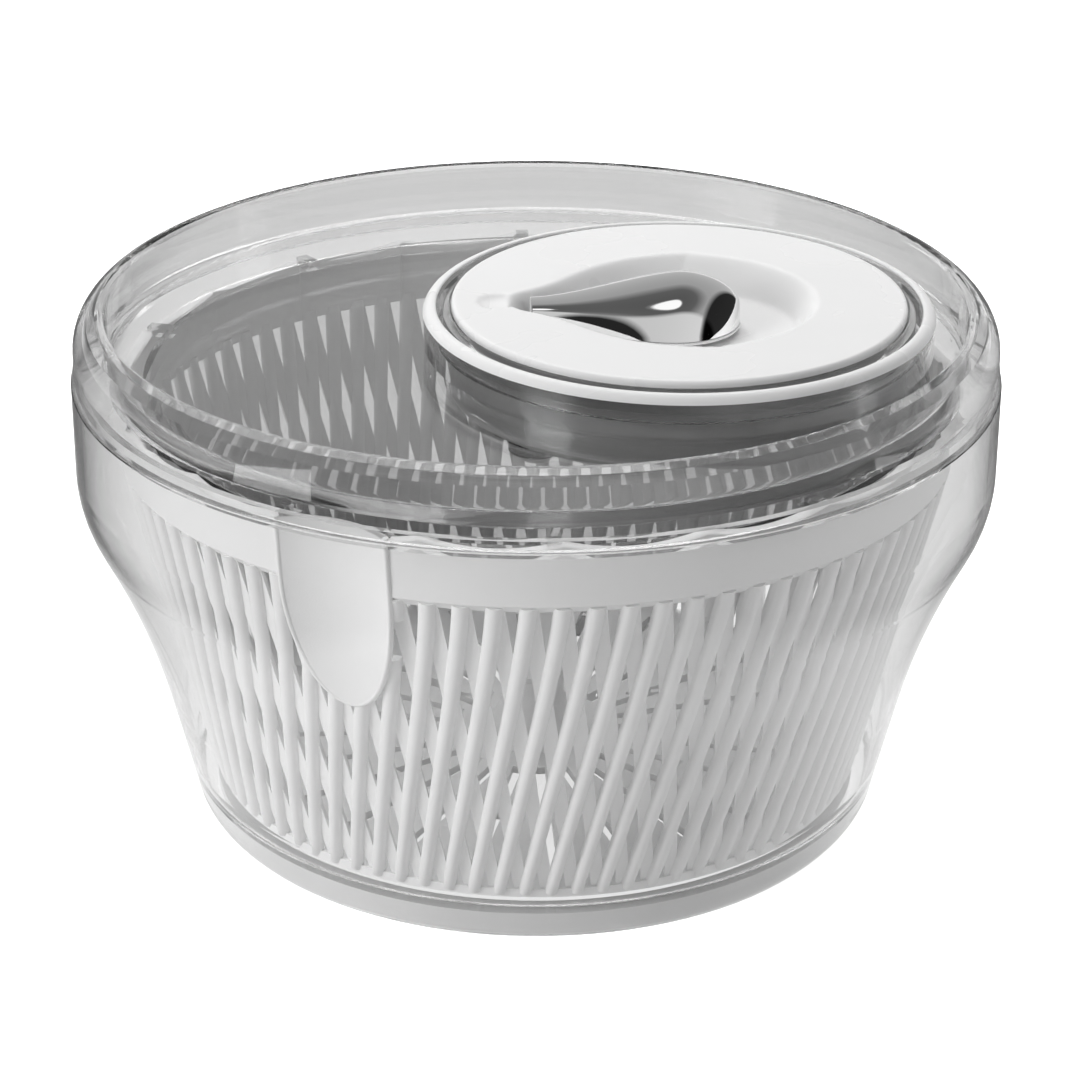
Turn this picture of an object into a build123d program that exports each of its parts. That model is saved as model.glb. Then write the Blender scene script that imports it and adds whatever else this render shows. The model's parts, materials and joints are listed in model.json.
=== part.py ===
"""Salad spinner: clear bowl, slotted basket, and a lid whose offset crank drives the basket by gears.

Millimetres. +Z is up, Z is the axis that the basket spins about, and z = 0 is the table.
The crank's own axis stands at x = crank_offset, so a small pinion on Z meshes inside the
crank's large internal gear, and the basket turns several times for one turn of the crank.
"""
from build123d import *
import math
import os

os.makedirs("parts", exist_ok=True)

# ---- Bowl ----
body_radius = 139.8          # outside of the bowl's straight rim and of the lid's skirt
bowl_wall = 2.5
rim_height = 139.3           # top edge of the bowl
foot_radius = 103.6          # outside of the foot, on the table
foot_lift = 0.6              # the clear foot stays this far off the table, the soft ring carries
foot_corner_height = 9.0     # the foot's rounded corner ends here
foot_corner_out = 4.3        # and the bowl is this much wider there
foot_corner_bow = 3.6        # height of the corner's roundest point above its lower end
flare_start_height = 40.0    # the side is straight up to here
flare_start_out = 7.4        # and gains this much radius on the way
flare_end_drop = 44.3        # then it opens outwards up to this far under the rim
flare_end_inset = 4.1        # where it is this much narrower than the rim
floor_top = 10.5             # inside face of the bowl's floor
floor_thickness = 2.5
floor_fillet = 8.0           # inside corner between the floor and the side
floor_fillet_reach = 6.4     # how far that corner runs in over the floor

# ---- Soft ring in the foot ----
ring_width = 5.2
ring_outer_lip = 2.4         # clear wall outside the ring's groove
ring_inner_lip = 2.0         # and inside it
ring_roof = 0.6              # the groove stops this far under the hollow's roof
ring_clearance = 0.1

# ---- Pivot that the basket turns on ----
pivot_base_radius = 13.0
pivot_base_slope = 2.5       # its cone is this much wider than the pin where the pin starts
pivot_radius = 5.0
pivot_shoulder_rise = 10.5   # the pin starts this far above the bowl's floor
pivot_rise = 22.5            # and ends here
pivot_tip_chamfer = 1.5
pivot_wall = 2.2

# ---- Basket ----
rib_count = 84
basket_lift = 1.8            # under the basket's floor
basket_floor = 2.4           # thickness of the basket's floor
basket_foot_inset = 4.6      # the ribbed wall's middle starts this far inside the bowl's foot
band_drop = 3.0              # the band's top edge is this far under the bowl's rim
band_height = 19.1
band_gap = 9.7               # between the band and the inside of the bowl's rim
band_thickness = 5.2
band_flare = 1.2             # the band is this much narrower at its lower edge
band_neck_inset = 3.6        # the ribbed wall's middle meets the band this far inside its face
band_under_slope = 2.8       # the band's underside falls this much inwards
rib_width = 4.7
rib_face_share = 0.62        # the ribs' rounded outer face against their root
outer_rib_depth = 2.6
inner_rib_depth = 2.2
rib_layer_overlap = 0.5      # the two layers of ribs run into each other where they cross
rib_end_overlap = 1.6        # the ribs run this far into the band and the floor
floor_rim = 1.6              # the floor reaches this far past the middle of the ribs
floor_chamfer = 1.2
tooth_count = 20             # drive teeth along the band's top edge
tooth_height = 2.9
scoop_half_width = 17.0      # two finger scoops, for lifting the basket out
scoop_length = 39.6          # below the band
scoop_depth = 4.5
scoop_wall = 2.2
scoop_angle = -119.6
hub_radius = 9.0
hub_base_radius = 17.0
hub_cap = 2.4
hub_neck_rise = 4.0          # the hub's cone ends this far above the pivot's shoulder
hub_chamfer = 1.0
hub_skirt = 2.4              # wall of the hub's cone
hub_cone_gap = 3.0
hub_shoulder_gap = 0.8
pivot_clearance = 0.06       # running fit of the basket on the pivot
seat_gap = 0.3               # between pieces that rest on each other but part freely
drain_count = 24
drain_width = 3.2
drain_inner_radius = 26.0
drain_inner_length = 25.0
drain_web = 5.0              # between the inner and outer slots
drain_rim = 9.0              # the outer slots stop this far from the wall

# ---- Lid ----
lid_wall = 2.4
crest_rise = 21.7            # heights on the lid are from the bowl's rim
crest_inset = 9.2            # the crest is this much narrower than the body
crest_width = 2.4
crest_round = 1.1
recess_rise = 6.4            # floor of the sunk top
recess_heel = 3.0
skirt_rise = 7.7             # the skirt leans in slightly up to here, then rounds over
skirt_lean = 1.2
skirt_step = 0.2             # the skirt's foot is this much inside the bowl's rim
shoulder_bow = 0.9           # how far the rounded shoulder bows out
flange_depth = 2.3           # how far the locating flange reaches down inside the bowl
flange_clearance = 0.4
flange_root = 1.2            # how far the flange runs into the skirt
boss_rise = 18.3             # raised ring around the crank
boss_width = 7.6
boss_gap = 8.2               # least room between the raised ring and the sunk top's edge
boss_round = 3.2
snap_wall = 1.6              # clip ring that the gear housing snaps into
snap_clearance = 0.25
snap_length = 2.2
snap_bead = 0.6

# ---- Gear housing under the lid ----
housing_clearance = 0.4      # inside the lid's opening
housing_wall = 2.0
housing_drop = 8.3           # its lower edge is this far under the bowl's rim
housing_collar_width = 2.0
housing_collar_height = 4.6
cover_thickness = 2.4
cover_ledge = 6.0            # inward flange that the cover is screwed to
cover_ledge_thickness = 1.9
cover_clearance = 0.15
cover_screw_count = 6
cover_screw_radius = 1.25
cover_screw_sink = 1.1
screw_head_ratio = 1.9       # head radius against shank radius of the small screws
screw_head_height = 1.0
screw_clearance = 0.1
screw_thread_play = 0.02

# ---- Gears ----
gear_module = 2.0
pinion_teeth = 17
pressure_angle = 20.0
backlash = 0.30              # along the pitch line
pinion_lift = 5.3            # above the housing's lower edge
pinion_length = 9.1
ring_gear_drop = 0.2         # the ring gear starts this far below the pinion
ring_gear_length = 10.9
ring_gear_wall = 3.8         # behind the tooth roots
ring_gear_screws = 4
ring_screw_radius = 0.9
ring_screw_head_radius = 1.6
ring_screw_sink = 1.2
ring_screw_bite = 4.0        # how far it goes up into the crank
ring_screw_shift = 0.1
ring_thread_play = 0.05

# ---- Drive shaft, its bush and the rotor ----
shaft_radius = 3.0
shaft_tail = 10.5            # below the bush
shaft_clearance = 0.04
shaft_recess = 0.4           # the shaft ends this far under the pinion's top
bush_wall = 1.6
bush_length = 15.0
bush_boss_radius = 7.6
bush_gap = 0.3               # between the bush and the pinion
clip_thickness = 1.0
clip_radius = 6.2
clip_gap = 0.25
clip_mouth = 2.6
rotor_band_gap = 3.9         # between the rotor's rim and the basket's band
rotor_wall = 2.2
rotor_cover_gap = 1.2        # between the rotor and the gearbox cover
rotor_rim_rise = 1.1         # above the band's top edge
rotor_edge = 2.5
rotor_hub_length = 9.7
rotor_hub_radius = 8.5
rotor_cup_radius = 12.5
rotor_cup_gap = 1.8          # under the bush
lug_count = 10
lug_width = 4.0
lug_inset = 2.0              # the lugs' tips are this far inside the band's face
lug_seat = 0.9               # the lugs stay this far above the bottom of the notches
lug_play = 0.5               # and this far from the face that they push
rotor_screw_radius = 1.9
rotor_screw_length = 9.0
rotor_screw_head = 5.0
rotor_screw_head_height = 2.1
rotor_washer_radius = 7.0
rotor_washer_thickness = 0.9

# ---- Crank ----
crank_gap = 0.8              # around the disc
crank_overhang = 2.3         # the disc is this much wider than the ring gear
crank_rise = 1.7             # the disc's top above the raised ring
crank_plate = 2.4
crank_edge_round = 1.1
crank_skirt_wall = 3.6
dish_depth = 9.3
dish_out = 5.0               # the dish's wide end is this far out from the crank's axis
dish_radius = 41.0
dish_tip_out = 42.5          # and its narrow end this far the other way
dish_tip_radius = 10.5
dish_neck_slope = 22.5       # half angle at which the neck widens
dish_neck_round = 20.0       # where the neck runs into the wide end
dish_slope = 11.0            # the dish's wall runs in by this much on its way down
dish_tip_slope = 3.0
dish_floor_shift = 4.0
dish_wall = 0.6
dish_lip_round = 2.0
dish_floor_round = 5.0
dimple_out = 53.1            # shallow dimple for the fingertip beside the knob's tip
dimple_radius = 6.2
dimple_depth = 1.5
dimple_wall = 1.5
crank_hub_radius = 7.5
axle_radius = 3.0
axle_post_radius = 9.0
axle_post_height = 9.6       # above the housing's lower edge
axle_head_radius = 5.6
axle_head_thickness = 2.6
axle_head_sink = 0.6
axle_thread_inset = 0.5
washer_thickness = 0.5
washer_play = 0.1
axle_socket_radius = 2.3

# ---- Fold-away knob ----
knob_radius = 18.0           # wide end
knob_rise = 7.7              # above the disc
knob_length = 41.5           # from the hinge to the middle of the wide end
knuckle_radius = 4.5         # narrow end, around the hinge pin
knuckle_drop = 4.5           # the hinge is this far under the disc's top
knob_underside_drop = 7.3
knob_rim_height = 1.6        # white rim under the bright cap
knob_cap_wall = 2.4
knob_core_clearance = 0.1     # between the cap and the white core inside it
knob_cap_roof = 6.1          # height of the hollow in the cap
knob_cap_gap = 0.05
knob_core_start = 8.0        # the core starts this far past the hinge
pin_radius = 1.5
pin_length = 19.0
pin_clearance = 0.05
ear_gap = 2.05              # beside the knuckle
ear_half_length = 3.4
ear_end_wall = 3.0           # past the end of the pin
knuckle_half_length = 4.2
ear_drop = 2.1               # the hinge ears stay this far under the disc's top

# ---- Worked out from the above ----
# Bowl and soft ring
bowl_inner_radius = body_radius - bowl_wall
foot_corner_radius = foot_radius + foot_corner_out
flare_start_radius = foot_corner_radius + flare_start_out
flare_end_height = rim_height - flare_end_drop
flare_end_radius = body_radius - flare_end_inset
hollow_roof = floor_top - floor_thickness
ring_outer_radius = foot_radius - ring_outer_lip
ring_inner_radius = ring_outer_radius - ring_width
ring_height = hollow_roof - ring_roof
foot_inner_radius = ring_inner_radius - ring_inner_lip
pivot_shoulder_height = floor_top + pivot_shoulder_rise
pivot_top = floor_top + pivot_rise
# Basket
basket_bottom = floor_top + basket_lift
basket_foot_radius = foot_radius - basket_foot_inset
band_top = rim_height - band_drop
band_bottom = band_top - band_height
band_outer_radius = bowl_inner_radius - band_gap
band_inner_radius = band_outer_radius - band_thickness
basket_neck_radius = band_outer_radius - band_neck_inset
scoop_tip = band_bottom - scoop_length
# Lid
lid_bottom = rim_height + seat_gap
skirt_foot_radius = body_radius - skirt_step
skirt_top_height = rim_height + skirt_rise
skirt_top_radius = body_radius - skirt_lean
crest_height = rim_height + crest_rise
crest_radius = body_radius - crest_inset
recess_radius = crest_radius - crest_width
recess_floor = rim_height + recess_rise
boss_top = rim_height + boss_rise
boss_roof = boss_top - lid_wall
# Gears: the crank's gear has as many teeth as the sunk top has room for
around_gear = ring_gear_wall + crank_overhang + crank_gap + boss_width + boss_gap
crank_teeth = round((recess_radius - around_gear) / gear_module + pinion_teeth / 2 - 1.25)
crank_offset = gear_module * (crank_teeth - pinion_teeth) / 2
gear_root_radius = gear_module * (crank_teeth / 2 + 1.25)
ring_gear_radius = gear_root_radius + ring_gear_wall
crank_radius = ring_gear_radius + crank_overhang
crank_well_radius = crank_radius + crank_gap
boss_radius = crank_well_radius + boss_width
housing_radius = crank_well_radius - housing_clearance
housing_inner_radius = housing_radius - housing_wall
housing_bottom = rim_height - housing_drop
housing_collar_radius = housing_radius + housing_collar_width
housing_top = boss_roof - seat_gap
housing_collar_bottom = housing_top - housing_collar_height
cover_top = housing_bottom + cover_thickness
pinion_bottom = housing_bottom + pinion_lift
pinion_top = pinion_bottom + pinion_length
ring_gear_bottom = pinion_bottom - ring_gear_drop
ring_gear_top = ring_gear_bottom + ring_gear_length
# Shaft and rotor
shaft_top = pinion_top - shaft_recess
bush_top = pinion_bottom - bush_gap
bush_bottom = bush_top - bush_length
shaft_bottom = bush_bottom - shaft_tail
rotor_radius = band_inner_radius - rotor_band_gap
rotor_disc_bottom = housing_bottom - rotor_cover_gap - rotor_wall
rotor_rim_top = band_top + rotor_rim_rise
rotor_hub_top = bush_bottom - rotor_cup_gap
rotor_hub_bottom = rotor_hub_top - rotor_hub_length
rotor_screw_seat = rotor_hub_bottom - rotor_washer_thickness
lug_reach = band_outer_radius - lug_inset
# Crank and knob
crank_top = boss_top + crank_rise
dish_bottom = crank_top - dish_depth
dish_centre = crank_offset + dish_out
dish_tip = crank_offset - dish_tip_out
dimple_centre = crank_offset - dimple_out
axle_post_top = housing_bottom + axle_post_height
axle_head_seat = housing_bottom + axle_head_thickness + washer_thickness + axle_head_sink
knob_top = crank_top + knob_rise
knuckle_x = crank_offset - knob_length
knuckle_height = crank_top - knuckle_drop
knob_underside = crank_top - knob_underside_drop
knob_split = knob_underside + knob_rim_height
ear_top = crank_top - ear_drop


def revolved(*edges):
    """Closed outline in the XZ plane, turned about Z."""
    return revolve(make_face(Wire(list(edges))), Axis.Z)


def turned(points):
    """Straight-sided outline of (radius, height) points, turned about Z."""
    return revolve(make_face(Polyline([(r, 0, z) for r, z in points], close=True)), Axis.Z)


def at_crank(shape):
    return shape.moved(Location((crank_offset, 0, 0)))


def tube(outer, inner, low, high):
    return turned([(inner, low), (outer, low), (outer, high), (inner, high)])


def rod(radius, low, high):
    return Cylinder(radius, high - low, align=(Align.CENTER, Align.CENTER, Align.MIN)).moved(
        Location((0, 0, low)))


def around_z(shape, count, start=0.0):
    return [shape.rotate(Axis.Z, start + 360.0 * k / count) for k in range(count)]


# ---- Bowl ----
def bowl_side(inset, low):
    """The bowl's side from height low up to the rim, inset towards the axis."""
    straight_slope = (flare_start_radius - foot_corner_radius) / (flare_start_height - foot_corner_height)
    low_radius = foot_corner_radius + straight_slope * (low - foot_corner_height) - inset
    straight = Line((low_radius, 0, low), (flare_start_radius - inset, 0, flare_start_height))
    flare = TangentArc((flare_start_radius - inset, 0, flare_start_height),
                       (flare_end_radius - inset, 0, flare_end_height), tangent=straight % 1)
    lean = math.atan2((flare % 1).X, (flare % 1).Z)
    shoulder_radius = (body_radius - flare_end_radius) / (1 - math.cos(lean))
    shoulder_height = flare_end_height + shoulder_radius * math.sin(lean)
    shoulder = TangentArc((flare_end_radius - inset, 0, flare_end_height),
                          (body_radius - inset, 0, shoulder_height), tangent=flare % 1)
    rim = Line((body_radius - inset, 0, shoulder_height), (body_radius - inset, 0, rim_height))
    return [straight, flare, shoulder, rim]


def make_bowl():
    side = bowl_side(0.0, foot_corner_height)
    corner = ThreePointArc((foot_radius, 0, foot_lift),
                           (foot_radius + foot_corner_out * 2 / 3, 0, foot_lift + foot_corner_bow),
                           (foot_corner_radius, 0, foot_corner_height))
    outline = [Line((0, 0, foot_lift), (foot_radius, 0, foot_lift)), corner, *side]
    outside = revolved(*outline, Line((body_radius, 0, rim_height), (0, 0, rim_height)),
                       Line((0, 0, rim_height), (0, 0, foot_lift)))
    inside_side = bowl_side(bowl_wall, floor_top + floor_fillet)
    start = inside_side[0] @ 0
    bend_start = start.X - floor_fillet_reach
    bend = TangentArc((bend_start, 0, floor_top), (start.X, 0, start.Z), tangent=(1, 0, 0))
    inside = revolved(Line((0, 0, floor_top), (bend_start, 0, floor_top)), bend, *inside_side,
                      Line((bowl_inner_radius, 0, rim_height), (0, 0, rim_height)),
                      Line((0, 0, rim_height), (0, 0, floor_top)))
    bowl = outside - inside
    bowl -= rod(foot_inner_radius, foot_lift, hollow_roof)
    bowl -= tube(ring_outer_radius, ring_inner_radius, foot_lift, ring_height + ring_clearance)
    return bowl + make_pivot() - make_pivot_core()


def make_pivot():
    return turned([(0, hollow_roof), (pivot_base_radius, hollow_roof), (pivot_base_radius, floor_top),
                   (pivot_radius + pivot_base_slope, pivot_shoulder_height),
                   (pivot_radius, pivot_shoulder_height), (pivot_radius, pivot_top - pivot_tip_chamfer),
                   (pivot_radius - pivot_tip_chamfer, pivot_top), (0, pivot_top)])


def make_pivot_core():
    """Hollow inside the pivot, open below."""
    base = pivot_base_radius - pivot_wall
    pin = pivot_radius - pivot_wall
    return turned([(0, foot_lift), (base, foot_lift), (base, hollow_roof + pivot_wall * 2 / 3),
                   (pin, pivot_shoulder_height), (pin, pivot_top - pivot_wall), (0, pivot_top - pivot_wall)])


def make_non_slip_ring():
    return tube(ring_outer_radius - ring_clearance, ring_inner_radius + ring_clearance, 0.0, ring_height)


# ---- Basket ----
def wall_radius(height):
    """Middle of the basket's ribbed wall."""
    share = (height - basket_bottom) / (band_bottom - basket_bottom)
    return basket_foot_radius + share * (basket_neck_radius - basket_foot_radius)


# Each layer of ribs leans its own way: (height share from floor to band, turn in degrees).
# Gaps of one layer that cross gaps of the other leave rows of diamond holes.
outer_lean = [(0.0, -9.7), (0.42, -5.1), (0.72, -1.5), (1.0, 0.0)]
inner_lean = [(0.0, 7.6), (0.42, 3.6), (0.72, 1.4), (1.0, 0.0)]


def make_rib(lean, near, far, near_share, far_share):
    """One leaning rib of straight runs, between two distances from the middle of the wall."""
    low = basket_bottom + basket_floor - rib_end_overlap
    high = band_bottom + rib_end_overlap
    points = []
    for share, turn in lean:
        height = low + share * (high - low)
        points.append(Vector(wall_radius(height), 0, height).rotate(Axis.Z, turn))
    along = (points[1] - points[0]).normalized()
    across = along.cross(Vector(points[0].X, points[0].Y, 0)).normalized()
    outward = across.cross(along)
    near_half = across * (rib_width * near_share / 2)
    far_half = across * (rib_width * far_share / 2)
    root = points[0] + outward * near
    face = points[0] + outward * far
    section = Wire.make_polygon([root - near_half, face - far_half, face + far_half, root + near_half])
    return sweep(make_face(section), path=Wire.make_polygon(points, close=False), transition=Transition.RIGHT)


def scoop_outline(grow):
    """The finger scoop seen from outside: straight down the band, then a long rounded tongue."""
    half = scoop_half_width + grow
    tongue = EllipticalCenterArc((0, band_bottom), half, band_bottom - scoop_tip + grow, 180, arc_size=180)
    top = band_top + 1
    sides = Polyline((half, band_bottom), (half, top), (-half, top), (-half, band_bottom))
    seen_from_outside = Plane(origin=(0, 0, 0), x_dir=(0, -1, 0), z_dir=(-1, 0, 0))
    return seen_from_outside * make_face(Wire([*tongue.edges(), *sides.edges()]))


def make_scoop():
    """Returns what the scoop takes away and the curved plate that closes it, both on the -X side."""
    chord_radius = (scoop_half_width ** 2 + scoop_depth ** 2) / (2 * scoop_depth)
    low = Vector(-(wall_radius(scoop_tip) + outer_rib_depth), 0, scoop_tip)
    high = Vector(-(band_outer_radius - scoop_depth), 0, band_top)
    along = (high - low).normalized()
    outward = Vector(-along.Z, 0, along.X)
    origin = low + outward * chord_radius - along * 30
    length = (high - low).length + 60
    hollow = Cylinder(chord_radius, length, align=(Align.CENTER, Align.CENTER, Align.MIN))
    shell = Cylinder(chord_radius + scoop_wall, length, align=(Align.CENTER, Align.CENTER, Align.MIN))
    place = Plane(origin=tuple(origin), x_dir=(0, 1, 0), z_dir=tuple(along)).location
    hollow = hollow.moved(place)
    shell = shell.moved(place)
    block = extrude(scoop_outline(0.0), amount=band_outer_radius + 20)
    plate_block = extrude(scoop_outline(0.6), amount=band_outer_radius + 20)
    low_end = scoop_tip - 10
    envelope = turned([(0, low_end), (wall_radius(low_end) + outer_rib_depth, low_end),
                       (wall_radius(band_bottom) + outer_rib_depth, band_bottom),
                       (band_outer_radius, band_top), (0, band_top)])
    keep_in = turned([(0, low_end), (wall_radius(low_end) - inner_rib_depth - 3, low_end),
                      (band_inner_radius - 6, band_top + 2), (0, band_top + 2)])
    plate = (shell - hollow) & plate_block & envelope
    taken = (hollow & block) - keep_in
    return taken, plate


def drive_notches():
    """Saw-tooth notches along the band's top edge: a long ramp down, then an upright face."""
    spread = math.tan(math.pi / tooth_count)
    cheeks = []
    above = band_top + tooth_height
    for radius in (band_inner_radius - band_thickness, band_outer_radius + band_thickness):
        half = radius * spread
        cheeks.append(Wire.make_polygon([(radius, -half, above), (radius, -half, band_top),
                                         (radius, half, band_top - tooth_height), (radius, half, above)]))
    notch = Solid.make_loft(cheeks, ruled=True)
    return around_z(notch, tooth_count, start=180.0 / tooth_count)


def make_band():
    band = turned([(band_inner_radius - band_flare, band_bottom - band_under_slope),
                   (band_outer_radius - band_flare, band_bottom),
                   (band_outer_radius, band_top), (band_inner_radius, band_top)])
    return band - drive_notches()


def drain_slots():
    """Two rings of slots in the basket's floor."""
    inner = (drain_inner_radius, drain_inner_radius + drain_inner_length, drain_count // 2)
    outer = (drain_inner_radius + drain_inner_length + drain_web, basket_foot_radius - drain_rim, drain_count)
    slots = []
    for low, high, count in (inner, outer):
        slot = extrude(SlotCenterToCenter(high - low, drain_width), amount=basket_floor)
        slots += around_z(slot.moved(Location(((low + high) / 2, 0, basket_bottom))), count)
    return slots


def hub_bore():
    """Room for the bowl's pivot under the basket's hub."""
    bore = pivot_radius + pivot_clearance
    base = hub_base_radius - hub_skirt
    shoulder = pivot_shoulder_height + hub_shoulder_gap
    return turned([(0, basket_bottom), (base, basket_bottom), (base, basket_bottom + hub_shoulder_gap),
                   (bore + hub_cone_gap, shoulder), (bore, shoulder), (bore, pivot_top + seat_gap),
                   (0, pivot_top + seat_gap)])


def make_basket():
    outer_rib = make_rib(outer_lean, -rib_layer_overlap / 2, outer_rib_depth, 1.0, rib_face_share)
    inner_rib = make_rib(inner_lean, rib_layer_overlap / 2, -inner_rib_depth, 1.0, rib_face_share)
    ribs = around_z(outer_rib, rib_count) + around_z(inner_rib, rib_count)
    floor_radius = basket_foot_radius + floor_rim
    floor_upper = basket_bottom + basket_floor
    floor = turned([(0, basket_bottom), (floor_radius - floor_chamfer, basket_bottom),
                    (floor_radius, basket_bottom + floor_chamfer), (floor_radius, floor_upper),
                    (0, floor_upper)])
    basket = make_band().fuse(floor, *ribs) - drain_slots()
    hub_top = pivot_top + seat_gap + hub_cap
    basket += turned([(0, basket_bottom), (hub_base_radius, basket_bottom), (hub_base_radius, floor_upper),
                      (hub_radius, pivot_shoulder_height + hub_neck_rise),
                      (hub_radius, hub_top - hub_chamfer), (hub_radius - hub_chamfer, hub_top), (0, hub_top)])
    basket -= hub_bore()
    taken, plate = make_scoop()
    for turn in (scoop_angle - 180, scoop_angle):
        basket = basket - taken.rotate(Axis.Z, turn)
        basket = basket + (plate.rotate(Axis.Z, turn) - drive_notches())
    return basket


# ---- Lid ----
def lid_outside():
    """Skirt, rounded shoulder, crest and sunk top, filled in below."""
    lip_radius = crest_radius - crest_round * 1.4
    lip_height = crest_height - crest_round * 1.5
    skirt = Line((skirt_foot_radius, 0, lid_bottom), (skirt_top_radius, 0, skirt_top_height))
    bow_share = 2 / 3
    over = ThreePointArc((skirt_top_radius, 0, skirt_top_height),
                         (crest_radius + bow_share * (skirt_top_radius - crest_radius), 0,
                          skirt_top_height + bow_share * (crest_height - skirt_top_height) + shoulder_bow),
                         (crest_radius, 0, crest_height))
    lip = ThreePointArc((crest_radius, 0, crest_height),
                        (crest_radius - crest_round, 0, crest_height - crest_round / 2),
                        (lip_radius, 0, lip_height))
    drop = Line((lip_radius, 0, lip_height), (recess_radius, 0, recess_floor + recess_heel))
    heel = TangentArc((recess_radius, 0, recess_floor + recess_heel),
                      (recess_radius - recess_heel, 0, recess_floor), tangent=drop % 1)
    top = Line((recess_radius - recess_heel, 0, recess_floor), (0, 0, recess_floor))
    return revolved(skirt, over, lip, drop, heel, top, Line((0, 0, recess_floor), (0, 0, lid_bottom)),
                    Line((0, 0, lid_bottom), (skirt_foot_radius, 0, lid_bottom)))


def lid_inside():
    """The room under the lid's skin, up into the crest."""
    under = recess_floor - lid_wall
    return turned([(0, lid_bottom), (skirt_foot_radius - lid_wall, lid_bottom),
                   (skirt_top_radius - lid_wall, skirt_top_height),
                   (crest_radius + lid_wall * 4 / 3, crest_height - lid_wall * 2),
                   (crest_radius + lid_wall * 0.4, crest_height - lid_wall),
                   (crest_radius, crest_height - lid_wall * 4 / 3),
                   (recess_radius + lid_wall, under), (0, under)])


def locating_flange():
    outer = bowl_inner_radius - flange_clearance
    inner = outer - lid_wall
    return turned([(inner, rim_height - flange_depth), (outer, rim_height - flange_depth),
                   (outer, lid_bottom), (outer + flange_root, lid_bottom),
                   (outer + flange_root, lid_bottom + lid_wall), (inner, lid_bottom + lid_wall)])


def housing_clip():
    """Ring under the raised boss, with a bead that the gear housing's collar snaps over."""
    inner = housing_collar_radius + snap_clearance
    bead_top = housing_collar_bottom - snap_clearance / 2
    ring = tube(inner + snap_wall, inner, housing_collar_bottom - snap_length, boss_roof)
    bead = turned([(inner + snap_wall / 2, housing_collar_bottom - snap_length),
                   (inner + snap_wall / 2, bead_top), (housing_collar_radius - snap_bead, bead_top),
                   (housing_collar_radius - snap_bead, bead_top - snap_length / 2)])
    return ring + bead


def make_lid():
    lid = lid_outside() - lid_inside() + locating_flange()
    boss = turned([(crank_well_radius, recess_floor - lid_wall), (boss_radius, recess_floor - lid_wall),
                   (boss_radius, boss_top), (crank_well_radius, boss_top)])
    outer_edges = boss.edges().filter_by(GeomType.CIRCLE).filter_by(lambda e: e.radius > boss_radius - 0.1)
    boss = fillet(outer_edges.group_by(Axis.Z)[-1], boss_round)
    lid += at_crank(boss)
    lid -= at_crank(rod(boss_radius - lid_wall, lid_bottom, boss_roof))
    lid -= at_crank(rod(crank_well_radius, lid_bottom, boss_top))
    return lid + at_crank(housing_clip())


# ---- Gear housing ----
def cover_screw_points():
    radius = housing_inner_radius - cover_ledge / 2
    return [(radius, 360.0 * (k + 0.5) / cover_screw_count) for k in range(cover_screw_count)]


def placed(shape, radius, angle):
    """Shape on the Z axis moved out to a polar place about the crank's axis."""
    return at_crank(shape.moved(Location((radius, 0, 0))).rotate(Axis.Z, angle))


def make_gear_housing():
    ledge_top = cover_top + cover_ledge_thickness
    ledge_inner = housing_inner_radius - cover_ledge
    housing = turned([(housing_inner_radius, housing_bottom), (housing_radius, housing_bottom),
                      (housing_radius, housing_collar_bottom), (housing_collar_radius, housing_collar_bottom),
                      (housing_collar_radius, housing_top), (housing_inner_radius, housing_top),
                      (housing_inner_radius, ledge_top), (ledge_inner, ledge_top),
                      (ledge_inner, cover_top), (housing_inner_radius, cover_top)])
    hole = rod(cover_screw_radius, cover_top, ledge_top)
    return at_crank(housing) - [placed(hole, *point) for point in cover_screw_points()]


def make_gearbox_cover():
    cover = at_crank(rod(housing_inner_radius - cover_clearance, housing_bottom, cover_top))
    cover += at_crank(rod(axle_post_radius, housing_bottom, axle_post_top))
    cover += rod(bush_boss_radius, bush_bottom, bush_top - bush_gap)
    cover -= rod(shaft_radius + bush_wall, bush_bottom, bush_top)
    cover -= at_crank(rod(axle_radius + shaft_clearance, housing_bottom, axle_post_top))
    cover -= at_crank(rod(axle_head_radius + cover_clearance * 2, housing_bottom, axle_head_seat))
    head = rod(cover_screw_radius * screw_head_ratio + cover_clearance, housing_bottom,
               housing_bottom + cover_screw_sink)
    hole = rod(cover_screw_radius + screw_clearance, housing_bottom, cover_top)
    return cover - [placed(shape, *point) for shape in (head, hole) for point in cover_screw_points()]


def small_screw(length):
    """Pan-head screw on the Z axis, head down, its seat at z = 0."""
    head_radius = cover_screw_radius * screw_head_ratio
    chamfer = screw_head_height / 2
    head = turned([(0, -screw_head_height), (head_radius - chamfer, -screw_head_height),
                   (head_radius, -chamfer), (head_radius, 0), (0, 0)])
    return head + rod(cover_screw_radius - screw_thread_play, -chamfer / 2, length)


def make_cover_screws():
    length = cover_thickness - cover_screw_sink + cover_ledge_thickness
    screw = small_screw(length).moved(Location((0, 0, housing_bottom + cover_screw_sink)))
    return Compound([placed(screw, *point).solid() for point in cover_screw_points()])


# ---- Gears ----
def involute(angle):
    return math.tan(angle) - angle


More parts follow.
